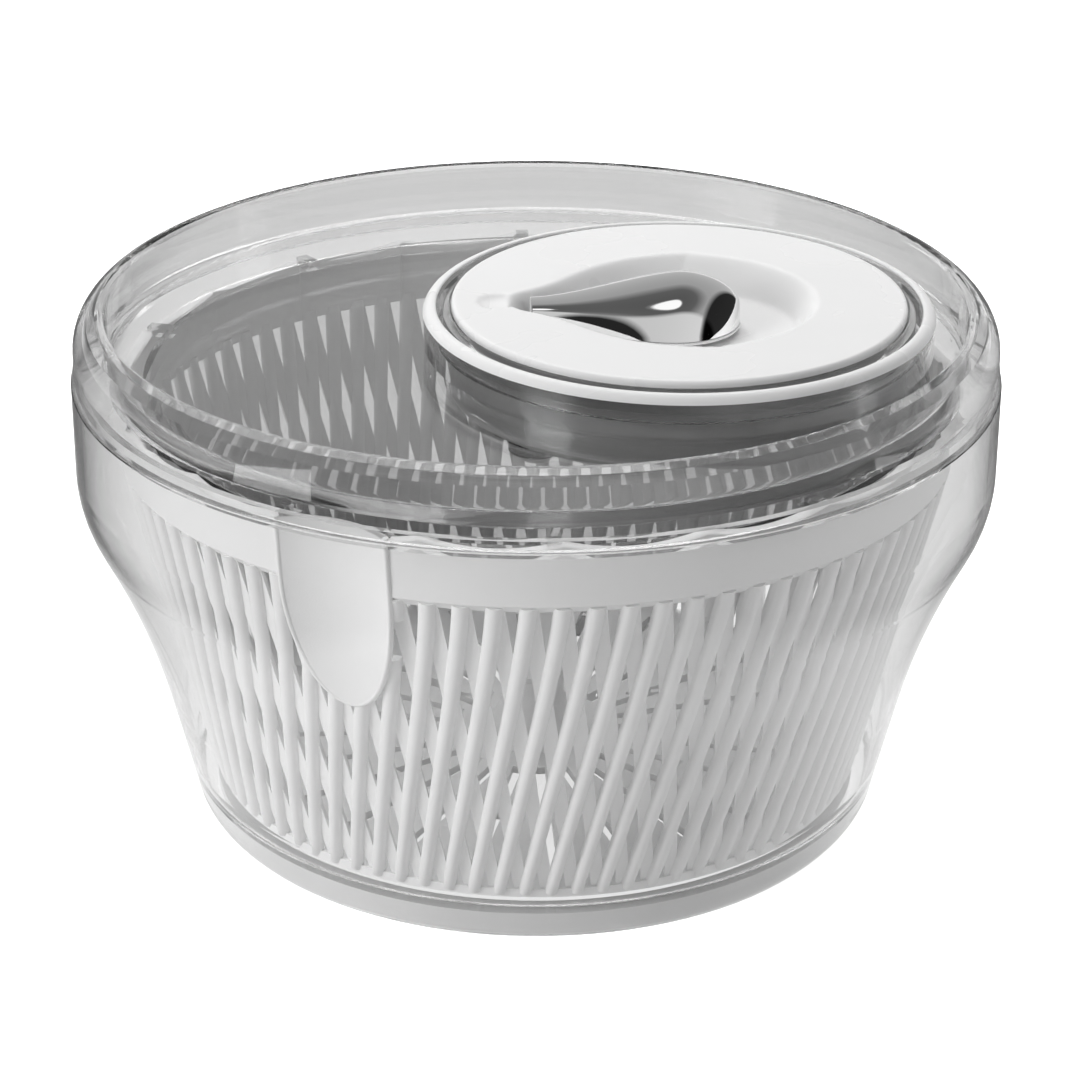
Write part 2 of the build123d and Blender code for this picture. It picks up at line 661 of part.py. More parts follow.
def gear_outline(teeth, root_radius, tip_radius, thickness_change, steps, first_angle):
    """Outline of an external gear with involute flanks, as a closed ring of points."""
    pitch_radius = gear_module * teeth / 2
    alpha = math.radians(pressure_angle)
    base_radius = pitch_radius * math.cos(alpha)
    half_pitch = math.pi / (2 * teeth) + thickness_change / (2 * pitch_radius)

    def half_angle(radius):
        roll = math.acos(min(1.0, base_radius / radius))
        return half_pitch + involute(alpha) - involute(roll)

    flank_start = max(root_radius, base_radius)
    radii = [flank_start + (tip_radius - flank_start) * k / steps for k in range(steps + 1)]
    flank = [(radius, half_angle(radius)) for radius in radii]
    if root_radius < base_radius:
        flank.insert(0, (root_radius, half_angle(base_radius)))
    points = []
    for k in range(teeth):
        centre = math.radians(first_angle) + 2 * math.pi * k / teeth
        points += [(r * math.cos(centre - a), r * math.sin(centre - a)) for r, a in flank]
        points += [(r * math.cos(centre + a), r * math.sin(centre + a)) for r, a in reversed(flank)]
    return points


def gear_prism(points, low, high):
    return extrude(Pos(0, 0, low) * make_face(Polyline(*points, close=True)), amount=high - low)


def make_pinion():
    pitch_radius = gear_module * pinion_teeth / 2
    outline = gear_outline(pinion_teeth, pitch_radius - 1.25 * gear_module, pitch_radius + gear_module,
                           -backlash / 2, 3, 180.0)
    pinion = gear_prism(outline, pinion_bottom, pinion_top)
    return pinion - rod(shaft_radius, pinion_bottom, pinion_top)


def ring_screw_points():
    """Places in the thick of the ring, behind the teeth."""
    radius = (ring_gear_radius + gear_root_radius) / 2 + ring_screw_shift
    quarter = 360.0 / ring_gear_screws
    return [(radius, quarter * (k + 0.5)) for k in range(ring_gear_screws)]


def make_ring_gear():
    pitch_radius = gear_module * crank_teeth / 2
    space = gear_outline(crank_teeth, pitch_radius - 0.75 * gear_module, gear_root_radius,
                         backlash / 2, 1, 180.0)
    ring = rod(ring_gear_radius, ring_gear_bottom, ring_gear_top)
    ring -= gear_prism(space, ring_gear_bottom, ring_gear_top)
    hole = rod(ring_screw_radius, ring_gear_bottom, ring_gear_top)
    hole += rod(ring_screw_head_radius, ring_gear_bottom, ring_gear_bottom + ring_screw_sink)
    return at_crank(ring) - [placed(hole, *point) for point in ring_screw_points()]


def make_ring_gear_screws():
    seat = ring_gear_bottom + ring_screw_sink
    screw = rod(ring_screw_head_radius - screw_clearance, seat - screw_head_height, seat)
    screw += rod(ring_screw_radius - ring_thread_play, seat - screw_head_height / 2,
                 ring_gear_top + ring_screw_bite)
    return Compound([placed(screw, *point).solid() for point in ring_screw_points()])


# ---- Drive shaft, bush and rotor ----
def make_drive_shaft():
    shaft = rod(shaft_radius, shaft_bottom, shaft_top)
    return shaft - rod(rotor_screw_radius, shaft_bottom, shaft_bottom + rotor_screw_length)


def make_shaft_bush():
    return tube(shaft_radius + bush_wall, shaft_radius + shaft_clearance, bush_bottom, bush_top)


def make_shaft_clip():
    top = bush_bottom - clip_gap
    ring = tube(clip_radius, shaft_radius, top - clip_thickness, top)
    mouth = Box(clip_radius * 2, clip_mouth, clip_thickness * 4)
    return ring - mouth.moved(Location((clip_radius + clip_mouth / 2, 0, top)))


def make_rotor():
    disc_top = rotor_disc_bottom + rotor_wall
    rim_inner = rotor_radius - rotor_wall
    cup_outer = rotor_cup_radius + rotor_wall
    cup_bottom = rotor_hub_top - rotor_wall
    inner_edge = rotor_edge * 2 / 3
    rotor = turned([(shaft_radius, rotor_hub_bottom), (rotor_hub_radius, rotor_hub_bottom),
                    (rotor_hub_radius, cup_bottom), (cup_outer, cup_bottom), (cup_outer, rotor_disc_bottom),
                    (rotor_radius - rotor_edge, rotor_disc_bottom),
                    (rotor_radius, rotor_disc_bottom + rotor_edge), (rotor_radius, rotor_rim_top),
                    (rim_inner, rotor_rim_top), (rim_inner, disc_top + inner_edge),
                    (rim_inner - inner_edge, disc_top), (rotor_cup_radius, disc_top),
                    (rotor_cup_radius, rotor_hub_top), (shaft_radius, rotor_hub_top)])
    lug_bottom = band_top - tooth_height + lug_seat
    lug = Box(lug_reach - rotor_radius + rotor_wall, lug_width, rotor_rim_top - lug_bottom,
              align=(Align.MIN, Align.CENTER, Align.MIN)).moved(Location((rim_inner, 0, lug_bottom)))
    # A lug hangs in the low end of a notch, just short of the upright face that it pushes.
    middle = (lug_reach + rotor_radius) / 2
    notch_low_end = 360.0 / tooth_count
    start = notch_low_end - math.degrees((lug_width / 2 + lug_play) / middle)
    return rotor + around_z(lug, lug_count, start=start)


def make_rotor_screw():
    low = rotor_screw_seat - rotor_screw_head_height
    chamfer = rotor_screw_head_height / 4
    head = turned([(0, low), (rotor_screw_head - chamfer, low), (rotor_screw_head, low + chamfer),
                   (rotor_screw_head, rotor_screw_seat), (0, rotor_screw_seat)])
    return head + rod(rotor_screw_radius - screw_thread_play, rotor_screw_seat - chamfer,
                      shaft_bottom + rotor_screw_length - 1)


def make_rotor_washer():
    return tube(rotor_washer_radius, rotor_screw_radius + screw_clearance, rotor_screw_seat,
                rotor_hub_bottom)


# ---- Crank ----
def teardrop(wide_x, wide_radius, tip_x, tip_radius):
    """Flat outline: a circle with a neck that widens towards it, the inner corners rounded."""
    slope = math.radians(dish_neck_slope)
    touch = Vector(tip_x - tip_radius * math.sin(slope), tip_radius * math.cos(slope))
    neck_half = touch.Y + (wide_x - touch.X) * math.tan(slope)
    neck = make_face(Polyline((touch.X, touch.Y), (wide_x, neck_half), (wide_x, -neck_half),
                              (touch.X, -touch.Y), close=True))
    outline = Pos(wide_x, 0) * Circle(wide_radius) + Pos(tip_x, 0) * Circle(tip_radius) + neck
    inner_corners = outline.vertices().filter_by(lambda v: v.X > tip_x + tip_radius / 2)
    return fillet(inner_corners, dish_neck_round)


def dish_solid(drop, grow):
    """The hollow around the knob, dropped and grown for its outside."""
    top = teardrop(dish_centre, dish_radius + grow, dish_tip, dish_tip_radius + grow)
    low = teardrop(dish_centre - dish_floor_shift, dish_radius - dish_slope + grow, dish_tip,
                   dish_tip_radius - dish_tip_slope + grow)
    return loft([Pos(0, 0, dish_bottom - drop) * low, Pos(0, 0, crank_top - drop) * top])


def dish_edges(disc, height):
    """The disc's level edges at this height, apart from its own outline."""
    level = disc.edges().filter_by_position(Axis.Z, height, height)
    return [edge for edge in level if edge.length < 2 * math.pi * dish_radius]


def make_crank_disc():
    disc = at_crank(rod(crank_radius, crank_top - crank_plate, crank_top))
    rim = disc.edges().filter_by(GeomType.CIRCLE).filter_by(lambda e: e.radius > crank_radius - 0.1)
    disc = fillet(rim, crank_edge_round)
    plate_under = crank_top - crank_plate
    disc += at_crank(tube(ring_gear_radius, ring_gear_radius - crank_skirt_wall, ring_gear_top, plate_under))
    disc += dish_solid(crank_plate, dish_wall)
    disc += at_crank(rod(crank_hub_radius, axle_post_top + seat_gap, dish_bottom - crank_plate / 2))
    dimple_boss = rod(dimple_radius + dimple_wall, plate_under - dimple_depth, plate_under)
    disc += dimple_boss.moved(Location((dimple_centre, 0, 0)))
    disc -= dish_solid(0.0, 0.0)
    disc = fillet(dish_edges(disc, crank_top), dish_lip_round)
    disc = fillet(dish_edges(disc, dish_bottom), dish_floor_round)
    sphere = (dimple_radius ** 2 + dimple_depth ** 2) / (2 * dimple_depth)
    disc -= Sphere(sphere).moved(Location((dimple_centre, 0, crank_top - dimple_depth + sphere)))
    disc += hinge_ears()
    disc -= hinge_rod(pin_radius, pin_length)
    disc -= at_crank(rod(axle_radius - axle_thread_inset, axle_post_top, dish_bottom - crank_plate / 2))
    pilot = rod(ring_screw_radius - ring_thread_play, ring_gear_top, ring_gear_top + ring_screw_bite)
    return disc - [placed(pilot, *point) for point in ring_screw_points()]


def hinge_ears():
    """Two upright ears in the dish's narrow end that hold the hinge pin."""
    inner = knuckle_half_length + ear_gap
    length = pin_length / 2 - inner + ear_end_wall
    root = dish_bottom - crank_plate / 2
    ear = Box(2 * ear_half_length, length, ear_top - root, align=(Align.CENTER, Align.MIN, Align.MIN))
    ear = ear.moved(Location((knuckle_x, inner, root)))
    return ear + mirror(ear, Plane.XZ)


def hinge_rod(radius, length):
    return Cylinder(radius, length, rotation=(90, 0, 0)).moved(Location((knuckle_x, 0, knuckle_height)))


def make_axle_bolt():
    seat = axle_head_seat - washer_thickness - washer_play
    low = seat - axle_head_thickness
    head = rod(axle_head_radius, low, seat)
    socket = extrude(Pos(0, 0, low) * RegularPolygon(axle_socket_radius, 6), amount=axle_head_thickness * 0.6)
    shank = rod(axle_radius, seat, axle_post_top + seat_gap)
    thread = rod(axle_radius - axle_thread_inset, axle_post_top, dish_bottom - crank_plate / 2 - washer_play)
    return at_crank(head - socket + shank + thread)


def make_axle_washer():
    high = axle_head_seat - washer_play / 2
    return at_crank(tube(axle_head_radius, axle_radius + screw_clearance / 2, high - washer_thickness, high))


# ---- Knob ----
def knob_shape(shrink):
    """Rounded teardrop: a wide and a narrow ball joined by the cone that touches both."""
    wide = Vector(crank_offset, 0, knob_top - knob_radius)
    tip = Vector(knuckle_x, 0, knuckle_height)
    axis = wide - tip
    length = axis.length
    wide_r = knob_radius - shrink
    tip_r = knuckle_radius - shrink
    slope = math.asin((wide_r - tip_r) / length)

    def on_ball(centre, radius, angle):
        """Point at this angle back from the far end of the knob's axis."""
        return (centre + radius * math.cos(angle), radius * math.sin(angle))

    touch = math.pi / 2 + slope
    tip_arc = ThreePointArc(on_ball(0, tip_r, math.pi), on_ball(0, tip_r, (math.pi + touch) / 2),
                            on_ball(0, tip_r, touch))
    cone = Line(on_ball(0, tip_r, touch), on_ball(length, wide_r, touch))
    wide_arc = ThreePointArc(on_ball(length, wide_r, touch), on_ball(length, wide_r, touch / 2),
                             on_ball(length, wide_r, 0))
    spine = Line(on_ball(length, wide_r, 0), on_ball(0, tip_r, math.pi))
    body = revolve(make_face(Wire([tip_arc, cone, wide_arc, spine])), Axis.X)
    tilt = math.degrees(math.atan2(axis.Z, axis.X))
    return body.rotate(Axis.Y, -tilt).moved(Location(tuple(tip)))


def layer(low, high, from_x):
    """Everything between two heights, beyond from_x."""
    size = 2 * crank_radius
    return Box(size, size, high - low, align=(Align.MIN, Align.CENTER, Align.MIN)).moved(
        Location((from_x, 0, low)))


def knuckle(grow, half_length):
    barrel = Cylinder(knuckle_radius + grow, 2 * half_length, rotation=(90, 0, 0))
    return barrel.moved(Location((knuckle_x, 0, knuckle_height)))


def make_knob_body():
    everywhere = knuckle_x - crank_radius / 2
    body = knob_shape(0.0) & layer(knob_underside, knob_split, everywhere)
    body += knuckle(0.0, knuckle_half_length)
    hollow_top = knob_split + knob_cap_roof - knob_core_clearance
    core = knob_shape(knob_cap_wall + knob_core_clearance)
    body += core & layer(knob_split - knob_rim_height / 2, hollow_top, knuckle_x + knob_core_start)
    return body - hinge_rod(pin_radius + pin_clearance, pin_length)


def make_knob_cap():
    everywhere = knuckle_x - crank_radius / 2
    cap = knob_shape(0.0) & layer(knob_split + knob_cap_gap, knob_top + knob_cap_wall, everywhere)
    hollow = knob_shape(knob_cap_wall) & layer(knob_split, knob_split + knob_cap_roof, everywhere)
    return cap - knuckle(knob_core_clearance, knob_radius) - hollow


def make_knob_pin():
    return hinge_rod(pin_radius, pin_length)


parts = {
    "bowl": make_bowl,
    "non_slip_ring": make_non_slip_ring,
    "basket": make_basket,
    "lid_shell": make_lid,
    "gear_housing": make_gear_housing,
    "gearbox_cover": make_gearbox_cover,
    "cover_screws": make_cover_screws,
    "shaft_bush": make_shaft_bush,
    "drive_shaft": make_drive_shaft,
    "pinion_gear": make_pinion,
    "shaft_clip": make_shaft_clip,
    "drive_rotor": make_rotor,
    "rotor_washer": make_rotor_washer,
    "rotor_screw": make_rotor_screw,
    "crank_disc": make_crank_disc,
    "ring_gear": make_ring_gear,
    "ring_gear_screws": make_ring_gear_screws,
    "axle_bolt": make_axle_bolt,
    "axle_washer": make_axle_washer,
    "knob_body": make_knob_body,
    "knob_cap": make_knob_cap,
    "knob_pin": make_knob_pin,
}

for name, make in parts.items():
    export_step(make(), f"parts/{name}.step")
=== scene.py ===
import json
import math

import bpy
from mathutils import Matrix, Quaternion, Vector


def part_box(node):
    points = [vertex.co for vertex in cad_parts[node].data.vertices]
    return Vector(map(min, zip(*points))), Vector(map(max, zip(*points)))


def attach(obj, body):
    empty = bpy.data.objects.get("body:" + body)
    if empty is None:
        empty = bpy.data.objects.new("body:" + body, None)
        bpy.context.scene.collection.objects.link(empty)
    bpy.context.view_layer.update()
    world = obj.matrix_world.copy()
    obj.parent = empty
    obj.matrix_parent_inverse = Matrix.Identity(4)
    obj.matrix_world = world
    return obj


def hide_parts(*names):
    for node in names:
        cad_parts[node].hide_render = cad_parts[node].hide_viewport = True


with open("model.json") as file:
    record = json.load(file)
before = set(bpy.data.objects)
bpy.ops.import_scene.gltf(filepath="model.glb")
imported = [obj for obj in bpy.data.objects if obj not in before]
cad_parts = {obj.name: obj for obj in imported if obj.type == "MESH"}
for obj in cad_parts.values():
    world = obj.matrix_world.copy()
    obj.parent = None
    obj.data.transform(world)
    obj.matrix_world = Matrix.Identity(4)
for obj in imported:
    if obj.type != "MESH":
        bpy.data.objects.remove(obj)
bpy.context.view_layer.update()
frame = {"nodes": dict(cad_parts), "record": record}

nodes = frame["nodes"]


# ---- Node helpers ----
def new_material(name):
    """An empty node material, its tree and a function that adds a node with set inputs."""
    material = bpy.data.materials.new(name)
    material.use_nodes = True
    tree = material.node_tree
    tree.nodes.clear()
    return material, tree, node_adder(tree)


def node_adder(tree):
    def add(kind, settings=None, **inputs):
        node = tree.nodes.new("ShaderNode" + kind)
        for key, value in (settings or {}).items():
            setattr(node, key, value)
        for key, value in inputs.items():
            socket = node.inputs[key.replace("_", " ")]
            if isinstance(value, bpy.types.NodeSocket):
                tree.links.new(value, socket)
            else:
                socket.default_value = value
        return node
    return add


def maths(tree, operation, *values):
    node = tree.nodes.new("ShaderNodeMath")
    node.operation = operation
    for socket, value in zip(node.inputs, values):
        if isinstance(value, bpy.types.NodeSocket):
            tree.links.new(value, socket)
        else:
            socket.default_value = value
    return node.outputs[0]


def grey(value, alpha=1.0):
    return (value, value, value, alpha)


def ramp(tree, factor, stops):
    """A colour ramp of (position, grey) stops."""
    node = tree.nodes.new("ShaderNodeValToRGB")
    elements = node.color_ramp.elements
    while len(elements) < len(stops):
        elements.new(0.5)
    for element, (position, value) in zip(elements, stops):
        element.position = position
        element.color = grey(value)
    tree.links.new(factor, node.inputs[0])
    return node.outputs["Color"]


# ---- Materials ----
def moulded(name, low, high, rough_low, rough_high, grain, bump, **surface):
    """Moulded plastic or metal: a faint cloudy tone, a fine surface grain and uneven gloss."""
    material, tree, add = new_material(name)
    place = add("TexCoord").outputs["Object"]
    cloud = add("TexNoise", Vector=place, Scale=22.0, Detail=3.0).outputs["Fac"]
    fine = add("TexNoise", Vector=place, Scale=grain, Detail=2.0).outputs["Fac"]
    tone = ramp(tree, cloud, [(0.3, low), (0.7, high)])
    rough = add("MapRange", Value=cloud, From_Min=0.3, From_Max=0.7, To_Min=rough_low, To_Max=rough_high)
    relief = add("Bump", Height=fine, Strength=bump, Distance=0.0004)
    shader = add("BsdfPrincipled", Base_Color=tone, Roughness=rough.outputs[0],
                 Normal=relief.outputs["Normal"], **surface)
    out = add("OutputMaterial")
    tree.links.new(shader.outputs[0], out.inputs["Surface"])
    return material


def clear_moulded(name, face_tint, edge_tint, bend, bump, **surface):
    """Clear plastic: darker where it is seen edge on, faint moulding waves, lets the lamps through."""
    material, tree, add = new_material(name)
    place = add("TexCoord").outputs["Object"]
    flow = add("TexNoise", Vector=place, Scale=14.0, Detail=1.0).outputs["Fac"]
    relief = add("Bump", Height=flow, Strength=bump, Distance=0.0008)
    slant = add("LayerWeight", Blend=0.5).outputs["Facing"]
    uneven = add("MapRange", Value=flow, From_Min=0.3, From_Max=0.7, To_Min=-0.03, To_Max=0.03)
    tone = ramp(tree, maths(tree, "ADD", slant, uneven.outputs[0]),
                [(0.0, face_tint), (0.72, face_tint * 0.7 + edge_tint * 0.3), (0.90, edge_tint),
                 (1.0, edge_tint * 0.3)])
    shader = add("BsdfPrincipled", Base_Color=tone, Roughness=0.0, IOR=bend,
                 Transmission_Weight=1.0, Normal=relief.outputs["Normal"], **surface)
    path = add("LightPath").outputs
    passed = maths(tree, "MAXIMUM", path["Is Shadow Ray"], path["Is Diffuse Ray"])
    through = add("BsdfTransparent", Color=grey(math.sqrt(face_tint)))
    surface = add("MixShader", Fac=passed)
    tree.links.new(shader.outputs[0], surface.inputs[1])
    tree.links.new(through.outputs[0], surface.inputs[2])
    out = add("OutputMaterial")
    tree.links.new(surface.outputs[0], out.inputs["Surface"])
    return material


finishes = {
    "clear_plastic": clear_moulded("clear_bowl", 0.985, 0.66, 1.09, 0.20,
                                   Coat_Weight=1.0, Coat_IOR=1.5),
    "tinted_plastic": clear_moulded("smoked_lid", 0.84, 0.72, 1.07, 0.60,
                                    Coat_Weight=1.0, Coat_IOR=1.5),
    # Painted shade: the rotor gets a dark grey tint that darkens the basket's inside seen under the lid.
    "rotor_painted_shade": clear_moulded("rotor_painted_shade", 0.72, 0.55, 1.10, 0.10),
    "grey_rubber": moulded("foot_rubber", 0.66, 0.74, 0.5, 0.6, 900.0, 0.2),
    "white_basket": moulded("basket_white", 0.86, 0.89, 0.32, 0.42, 1400.0, 0.12),
    "gloss_white": moulded("crank_white", 0.87, 0.885, 0.24, 0.30, 500.0, 0.03),
    "chrome": moulded("knob_chrome", 0.86, 0.90, 0.02, 0.05, 300.0, 0.01, Metallic=1.0),
    "grey_housing": moulded("housing_grey", 0.28, 0.40, 0.30, 0.40, 500.0, 0.12, Metallic=0.5),
    "gear_plastic": moulded("gear_cream", 0.66, 0.72, 0.35, 0.45, 1000.0, 0.1),
    "steel": moulded("plain_steel", 0.52, 0.6, 0.2, 0.34, 1500.0, 0.1, Metallic=1.0),
    "bronze": moulded("sintered_bronze", 0.42, 0.5, 0.35, 0.5, 2500.0, 0.3, Metallic=1.0),
}
slot_of_node = {}
for entry in frame["record"]["materials"]:
    for name in entry.get("nodes", []):
        slot_of_node[name] = entry["slot"]
# The drive rotor takes the dark grey tint that paints shade inside the basket; every other part takes its
# slot's finish.
for name, node in nodes.items():
    slot = slot_of_node.get(name) or node.material_slots[0].material.name.split(".")[0]
    for holder in node.material_slots:
        holder.material = finishes["rotor_painted_shade" if name == "drive_rotor" else slot]


# ---- Mesh helpers: sizes below are in millimetres, as in the part's source ----
MM = 0.001


class Shell:
    """Points and faces gathered from grids, then made into one piece."""

    def __init__(self):
        self.points = []
        self.faces = []

    def grid(self, rows, closed=False, ring=False, caps=False):
        """Quads between rows of points; closed joins each row's ends, ring the last row to the first."""
        start = len(self.points)
        width = len(rows[0])
        for row in rows:
            self.points.extend(row)
        across = width if closed else width - 1
        along = len(rows) if ring else len(rows) - 1
        for i in range(along):
            low = start + i * width
            high = start + (i + 1) % len(rows) * width
            for j in range(across):
                k = (j + 1) % width
                self.faces.append((low + j, low + k, high + k, high + j))
        if caps:
            self.faces.append(tuple(range(start + width - 1, start - 1, -1)))
            last = start + (len(rows) - 1) * width
            self.faces.append(tuple(range(last, last + width)))

    def piece(self, name, slot, sharp=40.0):
        mesh = bpy.data.meshes.new(name)
        mesh.from_pydata([tuple(MM * value for value in point) for point in self.points], [], self.faces)
        mesh.validate()
        mesh.polygons.foreach_set("use_smooth", [True] * len(mesh.polygons))
        mesh.set_sharp_from_angle(angle=math.radians(sharp))
        mesh.materials.append(finishes[slot])
        piece = bpy.data.objects.new(name, mesh)
        bpy.context.scene.collection.objects.link(piece)
        return piece


def polar(radius, angle, height):
    return (radius * math.cos(angle), radius * math.sin(angle), height)


# ---- Basket ----
basket_low, basket_high = (tuple(value / MM for value in corner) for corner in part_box("basket"))
basket_floor, basket_top = basket_low[2], basket_high[2]
band_outside = basket_high[0]
band_height = 19.1
rib_count = 84
rib_steps = 26
rib_top = basket_top - band_height   # underside of the band
rib_hook = 6.0                       # the ribs turn in under the floor on this radius
rib_hook_share = 0.07                # share of a rib's length that the turn takes
scallop_angle = 18.0                 # one hollow of the band's top edge, in degrees
scallop_depth = 2.4
wall_foot, wall_head = 99.0, 124.0   # middle of the ribbed wall at the floor and at the band
scoop_half, scoop_length = 17.0, 39.6
scoop_angles = (math.radians(-119.6), math.radians(60.4))
scoop_bend = 34.4                    # radius that the scoop's plate is bent to
scoop_wall = 2.2


def wall_radius(height):
    share = (height - basket_floor) / (rib_top - basket_floor)
    return wall_foot + (wall_head - wall_foot) * share


def rib_path(share):
    """Radius, height and outward normal of the ribbed wall, from the band (0) to the tip (1)."""
    arc = rib_hook_share
    if share < 1 - arc:
        height = rib_top + (basket_floor + rib_hook - rib_top) * share / (1 - arc)
        slope = (wall_head - wall_foot) / (rib_top - basket_floor)
        return wall_radius(height), height, (1.0, -slope)
    turn = (share - 1 + arc) / arc * math.radians(80)
    start = wall_radius(basket_floor + rib_hook)
    radius = start - rib_hook * (1 - math.cos(turn))
    height = basket_floor + rib_hook * (1 - math.sin(turn))
    return radius, height, (math.cos(turn), -math.sin(turn))


def in_scoop(radius, angle, height):
    for middle in scoop_angles:
        side = radius * math.sin(angle - middle) / scoop_half
        if math.cos(angle - middle) > 0 and abs(side) < 1:
            if height > rib_top - scoop_length * math.sqrt(1 - side * side):
                return True
    return False


def rib_runs(turned):
    """The stretches of a rib that lie outside the scoops, as lists of shares along it."""
    def hidden(share):
        radius, height = rib_path(share)[:2]
        return in_scoop(radius, turned(share), height)

    runs, run = [], []
    last = 0.0
    for step in range(rib_steps + 1):
        share = step / rib_steps
        if hidden(share) != hidden(last):
            near, far = last, share
            for halving in range(12):
                middle = (near + far) / 2
                near, far = (middle, far) if hidden(middle) == hidden(near) else (near, middle)
            run.append((near + far) / 2)
            if hidden(share):
                runs.append(run)
                run = []
        if not hidden(share):
            run.append(share)
        last = share
    return runs + [run]


def add_ribs(shell, lean, power, depth, width_share, outward):
    """One layer of leaning ribs with a rounded face."""
    for rib in range(rib_count):
        def turned(share):
            return math.radians(360 / rib_count * rib + lean * share ** power)

        for run in rib_runs(turned):
            rows = []
            for share in run:
                radius, height, (out, up) = rib_path(share)
                width = width_share(share) * 2 * math.pi * radius / rib_count
                row = []
                for point in range(9):
                    bend = math.pi * point / 8
                    side = math.cos(bend) * width / 2
                    rise = (math.sin(bend) ** 0.8 * depth - 0.25) * outward
                    row.append(polar(radius + rise * out, turned(share) + side / radius,
                                     height + rise * up))
                rows.append(row)
            if len(rows) > 1:
                shell.grid(rows, closed=True, caps=True)


def make_basket_ribs():
    shell = Shell()
    add_ribs(shell, -9.7, 1.28, 2.6, lambda share: 0.58 - 0.04 * share, 1.0)
    add_ribs(shell, 7.4, 1.1, 2.2, lambda share: 0.56 - 0.04 * share, -1.0)
    return shell.piece("basket_ribs", "white_basket")


def scallop(angle):
    """0 in the middle of each hollow of the band's top edge, 1 at the points between."""
    share = (math.degrees(angle) / scallop_angle) % 1.0
    return (2 * share - 1) ** 2, share


def make_basket_band():
    """The band around the top, with its hollowed edge, open where the scoops are."""
    shell = Shell()
    outside = band_outside
    section = [(-1.2, 0.6, 0), (-1.2, 3.0, 0), (-0.6, 9.0, 0), (0.0, 17.9, 1), (-0.3, 18.8, 1),
               (-1.0, band_height, 1), (-3.6, band_height, 1), (-4.4, 18.7, 2), (-4.6, 17.8, 2),
               (-5.0, 9.0, 3), (-5.2, -1.6, 3), (-4.8, -2.2, 0), (-4.0, -2.2, 0), (-1.9, 0.0, 0)]
    columns = 340
    for middle in scoop_angles:
        rows = []
        for column in range(columns + 1):
            row = []
            for out, rise, kind in section:
                radius = outside + out
                edge = math.asin(scoop_half / radius)
                angle = middle + edge + (math.pi - 2 * edge) * column / columns
                crest, share = scallop(angle)
                if kind in (1, 2):
                    rise -= scallop_depth * (1 - crest)
                if kind in (2, 3):
                    radius += 0.8 * share
                row.append(polar(radius, angle, rib_top + rise))
            rows.append(row)
        shell.grid(rows, closed=True, caps=True)
    return shell.piece("basket_band", "white_basket", 30.0)


def scoop_plate(side, height):
    """Distance of the scoop's bent plate from the axis."""
    middle = 117.2 + 5.9 * (height - rib_top + scoop_length) / (scoop_length + band_height)
    return middle + scoop_bend - math.sqrt(scoop_bend ** 2 - side ** 2)


def placed(out, side, height, middle):
    """A point given by its distance out and sideways, turned to the angle of a scoop."""
    return (out * math.cos(middle) - side * math.sin(middle),
            out * math.sin(middle) + side * math.cos(middle), height)


def make_scoops():
    shell = Shell()
    steps, levels = 24, 26
    for middle in scoop_angles:
        for skin in (0.0, -scoop_wall):
            rows = []
            for level in range(levels + 1):
                row = []
                for step in range(steps + 1):
                    across = math.sin(math.pi * (step / steps - 0.5))
                    side = scoop_half * across
                    foot = rib_top - scoop_length * math.sqrt(max(0.0, 1 - across ** 2))
                    height = foot + (basket_top - 0.6 - foot) * level / levels
                    row.append(placed(scoop_plate(side, height) + skin, side, height, middle))
                rows.append(row if skin else row[::-1])
            shell.grid(rows)
        edge = [(scoop_half, basket_top - 0.6), (scoop_half, rib_top + 8.0)]
        for step in range(41):
            turn = math.pi * step / 40
            edge.append((scoop_half * math.cos(turn), rib_top - scoop_length * math.sin(turn)))
        edge += [(-scoop_half, rib_top + 8.0), (-scoop_half, basket_top - 0.6)]
        rows = []
        for i, (side, height) in enumerate(edge):
            before, after = edge[max(i - 1, 0)], edge[min(i + 1, len(edge) - 1)]
            run = Vector((after[0] - before[0], after[1] - before[1])).normalized()
            row = []
            for point in range(10):
                bend = 2 * math.pi * point / 10
                shift = 0.9 * math.cos(bend)
                rise = 1.2 * math.sin(bend) - 1.0
                row.append(placed(scoop_plate(side, height) + rise, side + shift * run.y,
                                  height - shift * run.x, middle))
            rows.append(row)
        shell.grid(rows, closed=True, caps=True)
    return shell.piece("basket_scoops", "white_basket", 50.0)


def lathe(shell, profile, steps=96):
    rows = []
    for step in range(steps):
        angle = 2 * math.pi * step / steps
        rows.append([polar(radius, angle, height) for radius, height in profile])
    shell.grid(rows, ring=True)


def make_basket_floor():
    """Slotted floor and the hub that stands on the bowl's pivot."""
    shell = Shell()
    slots, slot_half = 24, 1.6
    rings = [16.5, 26.0, 51.0, 56.0, 90.0, 100.4]
    low, high = basket_floor, basket_floor + 2.4
    for slot in range(slots):
        for ring in range(5):
            near, far = rings[ring], rings[ring + 1]
            pitch = 2 * math.pi / slots
            cut_near, cut_far = math.asin(slot_half / near), math.asin(slot_half / far)
            start = slot * pitch
            cells = [(start + cut_near, start + pitch - cut_near, start + cut_far, start + pitch - cut_far)]
            if ring % 2 == 0:
                cells.append((start - cut_near, start + cut_near, start - cut_far, start + cut_far))
            for near_low, near_high, far_low, far_high in cells:
                rows = []
                for part in range(7):
                    share = part / 6
                    near_angle = near_low + (near_high - near_low) * share
                    far_angle = far_low + (far_high - far_low) * share
                    rows.append([polar(near, near_angle, high), polar(far, far_angle, high),
                                 polar(far, far_angle, low), polar(near, near_angle, low)])
                shell.grid(rows, closed=True, caps=True)
    lathe(shell, [(16.9, basket_floor), (16.9, basket_floor + 2.8), (9.8, 25.6), (9.0, 27.0), (9.0, 34.0),
                  (8.2, 35.2), (0.01, 35.2)])
    return shell.piece("basket_floor", "white_basket", 30.0)


def make_basket():
    ribs = make_basket_ribs()
    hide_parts("basket")
    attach(ribs, "basket")
    for part in (make_basket_band(), make_scoops(), make_basket_floor()):
        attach(part, "basket")


